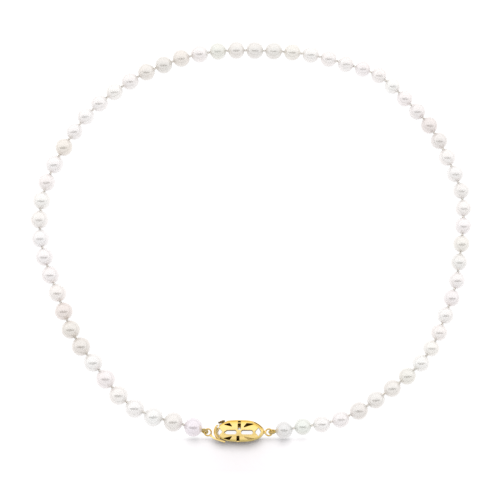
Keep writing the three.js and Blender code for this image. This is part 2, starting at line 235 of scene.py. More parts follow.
def gold_material(name, base=(0.82, 0.62, 0.245), shaded_colour=(0.15, 0.08, 0.02), rough=(0.10, 0.22), hollow_shade=1.0, scale=1.0):
    m, nt, b = new_mat(name)
    tc = node(nt, "ShaderNodeTexCoord")
    obj = tc.outputs["Object"]
    big = noise_tex(nt, obj, 330.0 * scale, 3.0, 0.55)
    col = mix_col(nt, map_range(nt, big, 0.35, 0.65, 0.0, 0.30), base, tuple(min(1.0, c * k) for c, k in zip(base, (1.0, 1.05, 1.25))))
    # painted light: faces turned to the back get a deeper orange as a painted reflection, those turned to the front a
    # darker greenish brown as painted shade
    nz = node(nt, "ShaderNodeSeparateXYZ")
    nt.links.new(tc.outputs["Normal"], nz.inputs[0])
    col = mix_col(nt, map_range(nt, nz.outputs[1], 0.22, 0.72, 0.0, 0.9), col, (0.78, 0.49, 0.06))
    col = mix_col(nt, map_range(nt, nz.outputs[1], -0.40, -0.85, 0.0, 0.85), col, (0.46, 0.36, 0.09))
    # painted shade in the openings, in creases and inside: darker by the depth below the polished outside and by
    # concavity
    shade_mask = node(nt, "ShaderNodeAttribute", attribute_name="painted_shade").outputs["Fac"]
    spot = noise_tex(nt, obj, 1500.0 * scale, 3.0, 0.6)
    shade_mask = math_node(nt, "MULTIPLY", shade_mask, map_range(nt, spot, 0.3, 0.6, 0.75, 1.0))
    geo = node(nt, "ShaderNodeNewGeometry")
    # painted shade in concave creases, taken from the mesh's pointiness
    hollow = map_range(nt, geo.outputs["Pointiness"], 0.42, 0.49, 1.0, 0.0)
    shade_mask = math_node(nt, "MAXIMUM", math_node(nt, "MULTIPLY", shade_mask, 0.92), math_node(nt, "MULTIPLY", hollow, 0.6 * hollow_shade), clamp=True)
    col = mix_col(nt, shade_mask, col, shaded_colour)
    nt.links.new(col, b.inputs["Base Color"])
    b.inputs["Metallic"].default_value = 1.0
    # polishing marks
    mp = node(nt, "ShaderNodeMapping")
    mp.inputs["Scale"].default_value = (900.0 * scale, 5200.0 * scale, 2600.0 * scale)
    mp.inputs["Rotation"].default_value = (0.2, 0.3, 0.5)
    nt.links.new(obj, mp.inputs[0])
    hair = noise_tex(nt, mp.outputs[0], 1.0, 3.0, 0.6)
    blot = noise_tex(nt, obj, 900.0 * scale, 3.0, 0.6)
    r = math_node(nt, "ADD", math_node(nt, "MULTIPLY", blot, 0.6), math_node(nt, "MULTIPLY", hair, 0.4))
    r = map_range(nt, r, 0.35, 0.65, rough[0], rough[1])
    nt.links.new(math_node(nt, "ADD", r, math_node(nt, "MULTIPLY", shade_mask, 0.22)), b.inputs["Roughness"])
    h = math_node(nt, "ADD", math_node(nt, "MULTIPLY", hair, 0.25), blot)
    bump = node(nt, "ShaderNodeBump")
    bump.inputs["Strength"].default_value = 0.18
    bump.inputs["Distance"].default_value = 0.00003
    nt.links.new(h, bump.inputs["Height"])
    nt.links.new(bump.outputs[0], b.inputs["Normal"])
    return m


def silk_material():
    m, nt, b = new_mat("silk")
    tc = node(nt, "ShaderNodeTexCoord")
    obj = tc.outputs["Object"]
    fib = node(nt, "ShaderNodeMapping")
    fib.inputs["Scale"].default_value = (1400.0, 9000.0, 9000.0)
    nt.links.new(obj, fib.inputs[0])
    f = noise_tex(nt, fib.outputs[0], 1.0, 3.0, 0.6)
    big = noise_tex(nt, obj, 900.0, 2.0, 0.5)
    col = ramp(nt, f, [(0.3, (0.86, 0.80, 0.72)), (0.7, (0.97, 0.93, 0.87))])
    col = mix_col(nt, map_range(nt, big, 0.35, 0.65, 0.0, 0.3), col, (0.93, 0.90, 0.84))
    nt.links.new(col, b.inputs["Base Color"])
    nt.links.new(map_range(nt, f, 0.3, 0.7, 0.45, 0.65), b.inputs["Roughness"])
    b.inputs["Subsurface Weight"].default_value = 0.25
    b.inputs["Subsurface Radius"].default_value = (1.0, 0.9, 0.8)
    b.inputs["Subsurface Scale"].default_value = 0.0004
    b.inputs["Sheen Weight"].default_value = 0.4
    b.inputs["Sheen Roughness"].default_value = 0.4
    bump = node(nt, "ShaderNodeBump")
    bump.inputs["Strength"].default_value = 0.5
    bump.inputs["Distance"].default_value = 0.000008
    nt.links.new(f, bump.inputs["Height"])
    nt.links.new(bump.outputs[0], b.inputs["Normal"])
    return m


NACRE = {"metal": 0.22, "rough": 0.24, "coat": 1.0, "coat_rough": 0.05, "coat_ior": 1.8, "sss": 0.0}
M_NACRE = nacre_material()
M_GOLD = gold_material("gold_polished")
# the leaves inside the body: the same gold with a darker base, painted shade
M_GOLD_SHADED = gold_material("gold_spring_painted_shade", base=(0.68, 0.47, 0.14), rough=(0.2, 0.34))
# the serrated tab: a very dark gold base, painted shade of its serrations
M_GOLD_TAB_SHADED = gold_material("gold_tab_painted_shade", base=(0.13, 0.085, 0.028), shaded_colour=(0.03, 0.018, 0.008), rough=(0.2, 0.35), hollow_shade=1.5)
M_RING = gold_material("gold_ring", base=(0.60, 0.42, 0.125), shaded_colour=(0.12, 0.065, 0.015))
M_GIMP = gold_material("gimp_wire", base=(0.60, 0.48, 0.19), shaded_colour=(0.12, 0.08, 0.025), rough=(0.2, 0.32), scale=2.0)
M_SILK = silk_material()

# ---------------------------------------------------------------- floor, light
KEY = 4.8
floor_me = mesh_from("floor", [(-6, -6, 0), (6, -6, 0), (6, 6, 0), (-6, 6, 0)], [(0, 1, 2, 3)], smooth=False)
floor = link(bpy.data.objects.new("floor", floor_me))
floor.location = (0, 0, -0.00003)
mf, nt, b = new_mat("floor_paper")
tc = node(nt, "ShaderNodeTexCoord")
grain = noise_tex(nt, tc.outputs["Object"], 60.0, 3.0, 0.5)
b.inputs["Roughness"].default_value = 0.85
b.inputs["Specular IOR Level"].default_value = 0.1
# a light table: the sheet glows from below, except for a patch in front of the clasp, which takes the key light's shadow
sepf = node(nt, "ShaderNodeSeparateXYZ")
nt.links.new(tc.outputs["Object"], sepf.inputs[0])
fx = math_node(nt, "DIVIDE", math_node(nt, "ADD", sepf.outputs[0], 0.0042), 0.0235)
fx = math_node(nt, "POWER", 2.718, math_node(nt, "MULTIPLY", math_node(nt, "MULTIPLY", fx, fx), -1.0))
fy_top = map_range(nt, sepf.outputs[1], -0.0699, -0.0690, 1.0, 0.0)
fy_low = map_range(nt, sepf.outputs[1], -0.092, -0.080, 0.0, 1.0)
patch = math_node(nt, "MULTIPLY", fx, math_node(nt, "MULTIPLY", fy_top, fy_low), clamp=True)
paper = mix_col(nt, map_range(nt, grain, 0.3, 0.7, 0.0, 1.0), (0.078, 0.077, 0.078), (0.09, 0.089, 0.09))
nt.links.new(mix_col(nt, patch, paper, (0.41, 0.402, 0.414)), b.inputs["Base Color"])
b.inputs["Emission Color"].default_value = (1.0, 0.995, 1.0, 1.0)
nt.links.new(map_range(nt, patch, 0.0, 1.0, 0.95, 0.02), b.inputs["Emission Strength"])
if hasattr(mf, "cycles"):
    mf.cycles.emission_sampling = "NONE"
floor_me.materials.append(mf)

world = bpy.data.worlds.new("tent")
scene.world = world
world.use_nodes = True
wn = world.node_tree
for n in list(wn.nodes):
    wn.nodes.remove(n)
wo = wn.nodes.new("ShaderNodeOutputWorld")
bg = wn.nodes.new("ShaderNodeBackground")
wn.links.new(bg.outputs[0], wo.inputs[0])
tc = wn.nodes.new("ShaderNodeTexCoord")
sp = wn.nodes.new("ShaderNodeSeparateXYZ")
wn.links.new(tc.outputs["Generated"], sp.inputs[0])
yv = map_range(wn, sp.outputs[1], -0.35, 0.25, 1.15, 1.45)
low = map_range(wn, sp.outputs[2], 0.0, 0.24, 0.45, 1.0)
wn.links.new(math_node(wn, "MULTIPLY", yv, low), bg.inputs["Strength"])
bg.inputs["Color"].default_value = (1.0, 0.992, 0.985, 1.0)

# the gap between the two soft boxes, beside the lens
UP = Vector((0.0, math.sin(ELEV), math.cos(ELEV)))      # image up
SIDE = Vector((1.0, 0.0, 0.0))
gap_c = TARGET + back * 0.352
lo_e, hi_e, half_w = -0.128, 0.028, 0.50
mid_e, half_e = (lo_e + hi_e) / 2, (hi_e - lo_e) / 2
lens_x = [-1 + 2 * k / 24 for k in range(25)]
lens_h = [half_e * (1 - abs(u) ** 2.2) ** 0.6 for u in lens_x]
pts = [gap_c + SIDE * u * half_w + UP * (mid_e - h) for u, h in zip(lens_x, lens_h)]
pts += [gap_c + SIDE * u * half_w + UP * (mid_e + h) for u, h in zip(lens_x[-2:0:-1], lens_h[-2:0:-1])]
gap_me = mesh_from("gap", pts, [tuple(range(len(pts)))], smooth=False)
gap = link(bpy.data.objects.new("softbox_gap", gap_me))
mg, nt, b = new_mat("gap_black")
b.inputs["Base Color"].default_value = (0.02, 0.02, 0.02, 1.0)
b.inputs["Roughness"].default_value = 0.9
b.inputs["Specular IOR Level"].default_value = 0.0
gap_me.materials.append(mg)
gap.visible_camera = False


def area(name, loc, to, size, power, colour=(1, 1, 1), size_y=None):
    d = bpy.data.lights.new(name, "AREA")
    d.shape = "RECTANGLE"
    d.size = size
    d.size_y = size_y or size
    d.energy = power
    d.color = colour
    o = link(bpy.data.objects.new(name, d))
    o.location = loc
    o.rotation_euler = (Vector(to) - Vector(loc)).to_track_quat("-Z", "Y").to_euler()
    o.visible_camera = False
    return o


def linked_to(light, name):
    """The light falls only on the objects in its own collection."""
    c = bpy.data.collections.new(name)
    light.light_linking.receiver_collection = c
    return c


sun_d = bpy.data.lights.new("key_back", "SUN")
sun_d.energy = KEY
sun_d.angle = math.radians(44.0)
sun_d.color = (1.0, 0.985, 0.975)
sun = link(bpy.data.objects.new("key_back", sun_d))
sun.rotation_euler = Vector((0.0, -0.44, -1.0)).to_track_quat("-Z", "Y").to_euler()
linked_to(sun, "key_receivers").objects.link(floor)

# the gold is polished from all sides: for it the gap is filled by a third soft box
fill = area("gold_fill", gap_c + UP * (lo_e + hi_e) / 2 - back * 0.004, TARGET + UP * (lo_e + hi_e) / 2, 2 * half_w, 1.0, (1.0, 0.98, 0.95), hi_e - lo_e)
fill.data.energy = 1.0 * math.pi * 2 * half_w * (hi_e - lo_e)
GOLD_ONLY = linked_to(fill, "gold_receivers")

# ---------------------------------------------------------------- the strand's route
C = [Vector((x, y, r)) + SHIFT for x, y, a, r in PEARLS]


def route(t):
    """Point and tangent of a uniform Catmull-Rom curve through the pearl centres, in mm."""
    t = min(max(t, 0.0), N - 1.0)
    i = min(int(t), N - 2)
    w = t - i
    p1, p2 = C[i], C[i + 1]
    p0 = C[i - 1] if i > 0 else 2 * p1 - p2
    p3 = C[i + 2] if i + 2 < N else 2 * p2 - p1
    m1, m2 = (p2 - p0) * 0.5, (p3 - p1) * 0.5
    w2, w3 = w * w, w * w * w
    p = p1 * (2 * w3 - 3 * w2 + 1) + m1 * (w3 - 2 * w2 + w) + p2 * (3 * w2 - 2 * w3) + m2 * (w3 - w2)
    d = p1 * (6 * w2 - 6 * w) + m1 * (3 * w2 - 4 * w + 1) + p2 * (6 * w - 6 * w2) + m2 * (3 * w2 - 2 * w)
    return p, d.normalized()


def basis(origin, axis):
    """World matrix whose X is the strand's direction and whose Z is as upright as it can be."""
    x = axis.normalized()
    y = Vector((0, 0, 1)).cross(x).normalized()
    z = x.cross(y)
    m = Matrix((x, y, z)).transposed().to_4x4()
    m.translation = origin
    return m


def body_of(i):
    """CAD body that pearl number i (1..64) belongs to."""
    if i in (32, 33):
        return "back_pair"
    if i <= 9 or i >= 56:
        return "pearl_%02d" % i
    a = i if i % 2 == 0 else i - 1
    return "pearls_%02d_%02d" % (a, a + 1)


def node_of(i):
    return "back_pearls_32_33" if i in (32, 33) else body_of(i)


# ---------------------------------------------------------------- pearls
# tint of each pearl (linear), the default is a faintly rosy white
BASE = (0.832, 0.802, 0.790)
TINTS = {}
for k in (8, 9, 10, 19, 25, 26, 27, 42, 43):
    TINTS[k] = (0.75, 0.715, 0.67)
for k in (29, 30, 31, 32, 33, 49, 50, 57, 58, 59, 60):
    TINTS[k] = (0.76, 0.735, 0.70)
TINTS.update({1: (0.775, 0.735, 0.765), 2: (0.77, 0.75, 0.72), 64: (0.73, 0.74, 0.72), 63: (0.75, 0.757, 0.735)})


def pearl_mesh(i, a, r):
    rng = np.random.default_rng(1000 + i)
    nt_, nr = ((52, 72))
    r0, lip = BORE + 0.06, 0.06
    th0 = math.asin(min(0.9, (r0) / r))
    prof = []
    # outside, from the hole at -X to the hole at +X
    for k in range(nt_ + 1):
        th = th0 + (math.pi - 2 * th0) * k / nt_
        prof.append((-a * math.cos(th), r * math.sin(th), True))
    xe = a * math.cos(th0)
    # rounded lip and drilled wall at the +X end, back through to the -X end
    for ang in (30, 60, 90):
        q = math.radians(ang)
        prof.append((xe - lip * (1 - math.cos(q)), r0 - lip * math.sin(q), False))
    for f in (0.6, 0.2, -0.2, -0.6):
        prof.append((xe * f, BORE, False))
    for ang in (90, 60, 30):
        q = math.radians(ang)
        prof.append((-(xe - lip * (1 - math.cos(q))), r0 - lip * math.sin(q), False))
    prof = np.array([(p[0], p[1], 1.0 if p[2] else 0.0) for p in prof])
    ph = np.arange(nr) / nr * 2 * math.pi
    X = np.repeat(prof[:, 0][:, None], nr, 1)
    R = np.repeat(prof[:, 1][:, None], nr, 1)
    P = np.repeat(ph[None, :], len(prof), 0)
    x = X
    y = R * np.cos(P)
    z = R * np.sin(P)
    # low, random bulges fade out towards the holes
    d = np.stack([x / a, y / r, z / r], -1)
    d = d / np.maximum(np.linalg.norm(d, axis=-1, keepdims=True), 1e-6)
    bulge = np.zeros_like(x)
    for _ in range(5):
        v = rng.normal(size=3); v /= np.linalg.norm(v)
        bulge += rng.normal() * 0.0055 * ((d @ v) ** 2 - 1 / 3)
    for _ in range(6):
        v = rng.normal(size=3); v /= np.linalg.norm(v)
        bulge += rng.normal() * 0.0022 * np.exp(-((1 - d @ v) / 0.30))
    for _ in range(2):
        c = rng.uniform(-0.75, 0.75)
        bulge -= rng.uniform(0.0, 0.0016) * np.exp(-((d[..., 0] - c) / 0.09) ** 2)
    sin_t = np.sqrt(np.clip(1 - (X / a) ** 2, 0, 1))
    win = np.clip((sin_t - 0.18) / 0.35, 0, 1)
    win = win * win * (3 - 2 * win) * np.repeat(prof[:, 2][:, None], nr, 1)
    s = 1 + bulge * win
    verts = np.stack([x * s, y * s, z * s], -1)
    # it has to keep touching the table at its lowest point: no bulge grows past the radius below
    low = -verts[..., 2].min()
    verts[..., 2] = np.where(verts[..., 2] < 0, verts[..., 2] * min(1.0, r / low), verts[..., 2])
    verts = verts.reshape(-1, 3)
    faces = []
    m = len(prof)
    for k in range(m):
        k2 = (k + 1) % m
        for j in range(nr):
            j2 = (j + 1) % nr
            faces.append((k * nr + j, k * nr + j2, k2 * nr + j2, k2 * nr + j))
    me = mesh_from("nacre_%02d" % i, verts, faces, MM)
    bm = bmesh.new()
    bm.from_mesh(me)
    bmesh.ops.recalc_face_normals(bm, faces=bm.faces)
    bm.to_mesh(me)
    bm.free()
    t = TINTS.get(i, BASE)
    j = rng.normal(0, 0.008, 3) + rng.normal(0, 0.012)
    t = [min(0.83, max(0.5, c + q)) for c, q in zip(t, j)]
    ca = me.attributes.new("tint", "FLOAT_COLOR", "POINT")
    ca.data.foreach_set("color", np.tile([*t, 1.0], len(me.vertices)).astype(np.float32))
    sa = me.attributes.new("seed", "FLOAT", "POINT")
    sa.data.foreach_set("value", np.full(len(me.vertices), i * 3.37, np.float32))
    me.materials.append(M_NACRE)
    return me


hidden = {}


def place(name, me, matrix, body, slot, replaced=()):
    o = link(bpy.data.objects.new(name, me))
    m = matrix.copy()
    m.translation = m.translation * MM
    o.matrix_world = m
    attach(o, body)
    if slot in ("gold", "gimp"):
        GOLD_ONLY.objects.link(o)
    if replaced:
        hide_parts(*replaced)
    return o


for i in range(1, N + 1):
    x, y, a, r = PEARLS[i - 1]
    T = route(i - 1)[1]
    T = Vector((T.x, T.y, 0)).normalized()
    node_name = node_of(i)
    rep = ()
    if node_name not in hidden:
        hidden[node_name] = True
        rep = (node_name,)
    place("nacre_%02d" % i, pearl_mesh(i, a, r), basis(C[i - 1], T), body_of(i), "pearl", rep)


# ---------------------------------------------------------------- silk between the pearls
def sweep(path, radius, sides=10, lobes=0, twist=0.0, depth=0.0, closed=False, caps=True):
    """A round or lobed cord along a path of points; returns verts and faces."""
    P = np.array(path, float)
    n = len(P)
    if closed:
        Tn = np.roll(P, -1, 0) - np.roll(P, 1, 0)
    else:
        Tn = np.gradient(P, axis=0)
    Tn /= np.linalg.norm(Tn, axis=1, keepdims=True)
    up = np.array([0.0, 0.0, 1.0]) if abs(Tn[0, 2]) < 0.9 else np.array([0.0, 1.0, 0.0])
    u = np.cross(up, Tn[0]); u /= np.linalg.norm(u)
    frames = []
    for k in range(n):
        u = u - Tn[k] * (u @ Tn[k])
        u /= np.linalg.norm(u)
        frames.append((u.copy(), np.cross(Tn[k], u)))
    slip = 0.0
    if closed:
        u_end = frames[-1][0] - Tn[0] * (frames[-1][0] @ Tn[0])
        slip = math.atan2(u_end @ frames[0][1], u_end @ frames[0][0])
    s = np.concatenate([[0], np.cumsum(np.linalg.norm(np.diff(P, axis=0), axis=1))])
    verts, faces = [], []
    rad = radius if hasattr(radius, "__len__") else [radius] * n
    for k in range(n):
        for j in range(sides):
            q = 2 * math.pi * j / sides
            f = 1.0
            if lobes:
                f = 1 + depth * (abs(math.cos(lobes * (q - twist * s[k]) / 2)) - 0.6)
            aa = q - (slip * k / n if closed else 0)
            verts.append(P[k] + (frames[k][0] * math.cos(aa) + frames[k][1] * math.sin(aa)) * rad[k] * f)
    rings = n if closed else n - 1
    for k in range(rings):
        k2 = (k + 1) % n
        for j in range(sides):
            j2 = (j + 1) % sides
            faces.append((k * sides + j, k * sides + j2, k2 * sides + j2, k2 * sides + j))
    if not closed and caps:
        for k, flip in ((0, True), (n - 1, False)):
            c = len(verts)
            verts.append(P[k])
            for j in range(sides):
                j2 = (j + 1) % sides
                f = (c, k * sides + j2, k * sides + j) if flip else (c, k * sides + j, k * sides + j2)
                faces.append(f)
    return verts, faces


def joined(name, parts, mat, scale=MM):
    verts, faces = [], []
    for v, f in parts:
        o = len(verts)
        verts += list(v)
        faces += [tuple(i + o for i in ff) for ff in f]
    me = mesh_from(name, verts, faces, scale)
    bm = bmesh.new()
    bm.from_mesh(me)
    bmesh.ops.recalc_face_normals(bm, faces=bm.faces)
    bm.to_mesh(me)
    bm.free()
    me.materials.append(mat)
    return me


def knot_parts(half, rng, tail):
    """A tight overhand knot on the X axis: the silk, two turns round it and a crossing strand."""
    r1 = THREAD
    rc = r1 + 0.15                      # radius of the turns' centre line
    w = max(0.13, half - 0.165)
    line = [(x, 0, 0) for x in np.linspace(-half - tail, half + tail, 26)]
    parts = [sweep(line, r1, 14, 3, 5.2, 0.16)]
    ph0 = rng.uniform(0, 2 * math.pi)
    turns, n = 2.35, 64
    path, rad = [], []
    for k in range(n + 1):
        t = k / n
        q = ph0 + 2 * math.pi * turns * t
        # the turns run back over each other, the last one crosses them
        x = w * (1 - 2 * t) if t < 0.82 else w * (1 - 2 * 0.82) + (t - 0.82) / 0.18 * w * 1.5
        lift = rc * (1 - 0.22 * (x / w) ** 2) + (0.06 * math.sin(math.pi * (t - 0.7) / 0.3) if t > 0.7 else 0.0)
        dive = min(1.0, t / 0.07, (1 - t) / 0.07)
        lift = r1 * 0.35 + (lift - r1 * 0.35) * math.sin(dive * math.pi / 2)
        path.append((x, lift * math.cos(q), lift * math.sin(q)))
        rad.append(0.165)
    parts.append(sweep(path, rad, 12, 3, 6.0, 0.14))
    return parts


for i in range(1, N):
    a, b2 = PEARLS[i - 1], PEARLS[i]
    d = C[i] - C[i - 1]
    gap = d.length - a[2] - b2[2]
    # the knot sits midway in the gap, on the line through both pearls' holes
    tdir = d.normalized()
    mid = C[i - 1] + tdir * (a[2] + gap / 2)
    rng = np.random.default_rng(500 + i)
    half = gap / 2 - 0.01
    cord, turns = knot_parts(half, rng, 0.40)
    owner = i if i > 32 else i + 1                   # the pearl nearer the back
    if i == 32:
        owner = 32
    for kind, part in (("silk_cord", cord), ("silk_knot", turns)):
        name = "%s_%02d_%02d" % (kind, i, i + 1)
        place(name, joined(name, [part], M_SILK), basis(mid, tdir), body_of(owner), "silk")

# ---------------------------------------------------------------- distance fields for the cast and bent gold
import openvdb


def field_mesh(name, fn, lo, hi, h):
    """Meshes the zero surface of fn(x, y, z) over the box lo..hi (mm), voxel h."""
    n = [int(math.ceil((hi[k] - lo[k]) / h)) + 1 for k in range(3)]
    ax = [lo[k] + h * np.arange(n[k]) for k in range(3)]
    X, Y, Z = np.meshgrid(*ax, indexing="ij")
    F = fn(X, Y, Z).astype(np.float32)
    for k in range(3):                    # closed at the box's walls
        sl = [slice(None)] * 3
        for e in (0, -1):
            sl[k] = e
            F[tuple(sl)] = np.maximum(F[tuple(sl)], h)
    F = np.clip(F, -4 * h, 4 * h)
    g = openvdb.FloatGrid(4 * h)
    g.copyFromArray(F)
    p, q = g.convertToQuads(isovalue=0.0)
    p = np.array(p, float) * h + np.array(lo)
    me = mesh_from(name, p, np.array(q)[:, ::-1])
    bm = bmesh.new()
    bm.from_mesh(me)
    bmesh.ops.remove_doubles(bm, verts=bm.verts, dist=h * 0.02)
    bmesh.ops.recalc_face_normals(bm, faces=bm.faces)
    # loose crumbs go, the main body stays
    seen, groups = set(), []
    for f in bm.faces:
        if f in seen:
            continue
        stack, grp = [f], []
        seen.add(f)
        while stack:
            c = stack.pop()
            grp.append(c)
            for e in c.edges:
                for o in e.link_faces:
                    if o not in seen:
                        seen.add(o)
                        stack.append(o)
        groups.append(grp)
    groups.sort(key=len, reverse=True)
    for grp in groups[1:]:
        if len(grp) < 0.2 * len(groups[0]):
            bmesh.ops.delete(bm, geom=grp, context="FACES")
    loose = [v for v in bm.verts if not v.link_faces]
    bmesh.ops.delete(bm, geom=loose, context="VERTS")
    bm.to_mesh(me)
    bm.free()
    me.polygons.foreach_set("use_smooth", [True] * len(me.polygons))
    return me


def smax(a, b, k):
    h = np.maximum(k - np.abs(a - b), 0.0) / k
    return np.maximum(a, b) + h * h * k * 0.25


def smin(a, b, k):
    return -smax(-a, -b, k)


def sd_poly(x, y, pts):
    """Signed distance to a closed polygon in plan."""
    pts = np.array(pts, float)
    d = np.full(x.shape, 1e9)
    inside = np.zeros(x.shape, bool)
    n = len(pts)
    for i in range(n):
        ax, ay = pts[i]
        bx, by = pts[(i + 1) % n]
        ex, ey = bx - ax, by - ay
        t = np.clip(((x - ax) * ex + (y - ay) * ey) / (ex * ex + ey * ey + 1e-12), 0, 1)
        d = np.minimum(d, (x - ax - t * ex) ** 2 + (y - ay - t * ey) ** 2)
        c = ((ay > y) != (by > y))
        with np.errstate(divide="ignore", invalid="ignore"):
            xi = (bx - ax) * (y - ay) / (by - ay + 1e-12) + ax
        inside ^= c & (x < xi)
    return np.where(inside, -np.sqrt(d), np.sqrt(d))


def inset(pts, r):
    """A convex polygon moved inwards by r."""
    pts = [np.array(p, float) for p in pts]
    area2 = sum(p[0] * q[1] - q[0] * p[1] for p, q in zip(pts, pts[1:] + pts[:1]))
    if area2 < 0:
        pts = pts[::-1]
    n, out = len(pts), []
    for i in range(n):
        p0, p1, p2 = pts[i - 1], pts[i], pts[(i + 1) % n]
        u, v = p1 - p0, p2 - p1
        u, v = u / np.linalg.norm(u), v / np.linalg.norm(v)
        nu, nv = np.array([-u[1], u[0]]), np.array([-v[1], v[0]])
        m = nu + nv
        out.append(p1 + m * r / max(0.35, 1 + nu @ nv))
    return out


def sd_path(x, y, path):
    """Distance to an open line in plan."""
    d = np.full(x.shape, 1e9)
    for (ax, ay), (bx, by) in zip(path, path[1:]):
        ex, ey = bx - ax, by - ay
        t = np.clip(((x - ax) * ex + (y - ay) * ey) / (ex * ex + ey * ey + 1e-12), 0, 1)
        d = np.minimum(d, (x - ax - t * ex) ** 2 + (y - ay - t * ey) ** 2)
    return np.sqrt(d)


def spline(pts, per=6):
    """Catmull-Rom through points in plan."""
    P = [np.array(p, float) for p in pts]
    out = []
    for i in range(len(P) - 1):
        p0 = P[i - 1] if i else 2 * P[0] - P[1]
        p3 = P[i + 2] if i + 2 < len(P) else 2 * P[-1] - P[-2]
        p1, p2 = P[i], P[i + 1]
        for k in range(per):
            t = k / per
            out.append(0.5 * (2 * p1 + (p2 - p0) * t + (2 * p0 - 5 * p1 + 4 * p2 - p3) * t * t
                              + (3 * p1 - p0 - 3 * p2 + p3) * t ** 3))
    out.append(P[-1])
    return [tuple(p) for p in out]


# ---------------------------------------------------------------- clasp, in its own mm frame
OUTLINE = [
    [8.40, 0.05], [8.05, 1.05], [7.20, 2.05], [6.00, 2.95], [4.45, 3.60], [2.50, 3.95], [-0.50, 4.05], [-3.30, 3.90],
    [-5.10, 3.50], [-6.40, 2.80], [-7.20, 1.95], [-7.65, 0.95], [-7.75, 0.00], [-7.50, -0.95], [-6.90, -1.70], [-5.60, -2.45],
    [-3.30, -3.00], [-0.50, -3.18], [2.50, -3.12], [4.70, -2.72], [6.60, -2.00], [7.70, -1.00],
]
MID = (0.0, 0.40)
H_DOME = 2.7
WALL = 0.5
RING_X = (-10.47, 9.72)
RING_R, RING_WIRE = 1.1, 0.25
ARM_LOW, ARM_HIGH, BEND_X = -1.06, 1.55, 4.6

_ang = np.array([math.atan2(y - MID[1], x - MID[0]) for x, y in OUTLINE])
_rad = np.array([math.hypot(x - MID[0], y - MID[1]) for x, y in OUTLINE])


def _periodic(ang, rad):
    """A smooth closed outline through the points, as a table of radius by angle."""
    o = np.argsort(ang)
    P = [(rad[k] * math.cos(ang[k]), rad[k] * math.sin(ang[k])) for k in o]
    n = len(P)
    pts = []
    for i in range(n):
        p0, p1, p2, p3 = (np.array(P[(i + k) % n]) for k in (-1, 0, 1, 2))
        for k in range(16):
            t = k / 16
            pts.append(0.5 * (2 * p1 + (p2 - p0) * t + (2 * p0 - 5 * p1 + 4 * p2 - p3) * t * t
                              + (3 * p1 - p0 - 3 * p2 + p3) * t ** 3))
    pts = np.array(pts)
    a = np.arctan2(pts[:, 1], pts[:, 0])
    r = np.hypot(pts[:, 0], pts[:, 1])
    o = np.argsort(a)
    a, r = a[o], r[o]
    a = np.concatenate([a - 2 * math.pi, a, a + 2 * math.pi])
    r = np.concatenate([r, r, r])
    return a, r


OUT_A, OUT_R = _periodic(_ang, _rad)
GRID_A = np.linspace(-math.pi, math.pi, 1441)
GRID_R = np.interp(GRID_A, OUT_A, OUT_R)
# light smoothing of the table
for _ in range(30):
    ext = np.concatenate([GRID_R[-4:-1], GRID_R, GRID_R[1:4]])
    GRID_R = np.convolve(ext, np.ones(7) / 7, "valid")


def share(x, y, ledge=0.0):
    """How far out a plan point is, 1 on the outline."""
    dx, dy = x - MID[0], y - MID[1]
    th = np.arctan2(dy, dx)
    R = np.interp(th, GRID_A, GRID_R)
    if ledge:
        R = R - ledge * np.exp(-((th - math.radians(19)) / math.radians(13)) ** 4)
    return np.hypot(dx, dy) / R


def dome_field(x, y, z, ledge=0.0):
    p = 3.1
    s = share(x, y, ledge)
    F = (s ** p + (np.abs(z) / H_DOME) ** p) ** (1 / p) - 1
    return F


def stadium(x0, x1, yc, r):
    q1 = [(x1 - r + r * math.cos(t), yc + r * math.sin(t)) for t in np.linspace(-math.pi / 2, math.pi / 2, 9)]
    q2 = [(x0 + r + r * math.cos(t), yc + r * math.sin(t)) for t in np.linspace(math.pi / 2, 1.5 * math.pi, 9)]
    return q1 + q2


# plan openings: [polygon, corner rounding, goes through the lower shell too]
OPENINGS = [
    (stadium(-4.55, -0.98, -0.08, 0.66), 0.0, True),
    (stadium(0.52, 4.42, -0.08, 0.68), 0.0, True),
    ([[-5.15, -0.08], [-4.2, 0.42], [-4.2, -0.58]], 0.05, True),
    ([[-0.52, 0.80], [0.40, 0.80], [0.46, 2.80], [-0.56, 2.80]], 0.12, False),
    ([[-0.98, -3.3], [0.0, -3.3], [-0.04, -1.22], [-0.92, -1.22]], 0.12, False),
    ([[-0.55, 3.15], [0.50, 3.15], [0.38, 3.62], [-0.40, 3.62]], 0.08, False),
    ([[-5.0, 2.50], [-2.42, 1.80], [-3.25, 2.98]], 0.10, False),
    ([[1.40, 1.55], [4.60, 2.62], [2.35, 2.90]], 0.10, False),
    ([[-5.1, -2.02], [-3.3, -2.55], [-2.45, -1.38]], 0.10, False),
    ([[5.05, 0.05], [6.25, -1.32], [7.15, 0.1], [6.35, 1.50]], 0.10, True),
    ([[-7.12, 0.15], [-6.85, -1.10], [-5.62, 0.10], [-6.65, 1.32]], 0.12, True),
]
RECESS = [[1.42, -1.52], [2.9, -2.52], [4.8, -2.18]]
SMALL_HOLE = [[-0.42, 0.80], [0.34, 0.80], [0.34, 1.38], [-0.42, 1.38]]


def numeric_distance(F, h):
    gx, gy, gz = np.gradient(F, h)
    g = np.sqrt(gx * gx + gy * gy + gz * gz)
    return F / np.maximum(g, 0.02)


H_SHELL = 0.062


